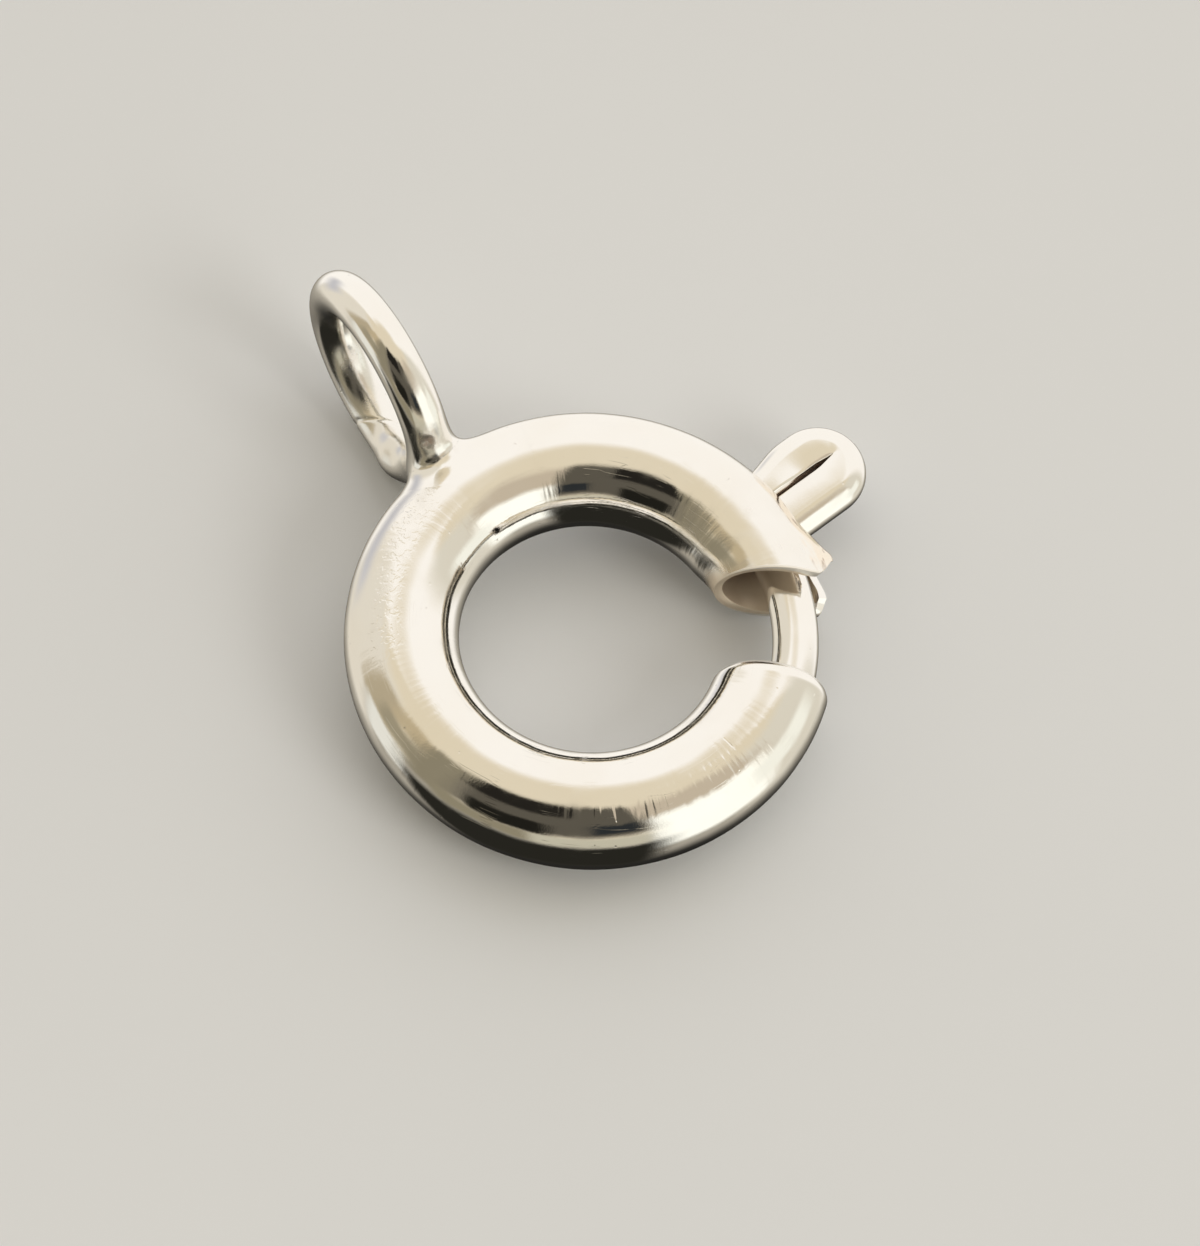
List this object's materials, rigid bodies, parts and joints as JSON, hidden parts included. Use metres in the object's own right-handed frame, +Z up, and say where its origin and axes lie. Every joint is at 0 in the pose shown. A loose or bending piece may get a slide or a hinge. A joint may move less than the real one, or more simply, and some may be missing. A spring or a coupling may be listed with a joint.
{
  "type": "spring ring clasp",
  "caption": "Round tube clasp with a sliding wire bolt, a folded thumb trigger and a soldered bail, which closes a fine chain.",
  "frame": {"origin": "on the resting surface, under the middle of the bounding box", "axes": "+Y towards the bail, which is the longest way; +Z up from the resting surface, the shortest way; the trigger points to +X"},
  "size_m": [0.0084, 0.0102, 0.0034],
  "materials": {
    "silver_tube": "polished sterling silver with fine wear",
    "silver_wire": "polished sterling silver wire",
    "spring_steel": "drawn spring wire"
  },
  "bodies": {
    "ring_body": {"ring_body": "silver_tube", "spring": "spring_steel"},
    "lever": {"lever": "silver_wire"}
  },
  "joints": [
    {"name": "bolt_slide", "type": "hinge", "parent": "ring_body", "child": "lever", "pos_m": [-0.00073, -0.00159, 0.00104], "axis": [0, -0.0808, 0.9967], "range_deg": [0, 36], "stiffness_Nm_per_rad": 0.003, "deforming": ["spring"]}
  ]
}
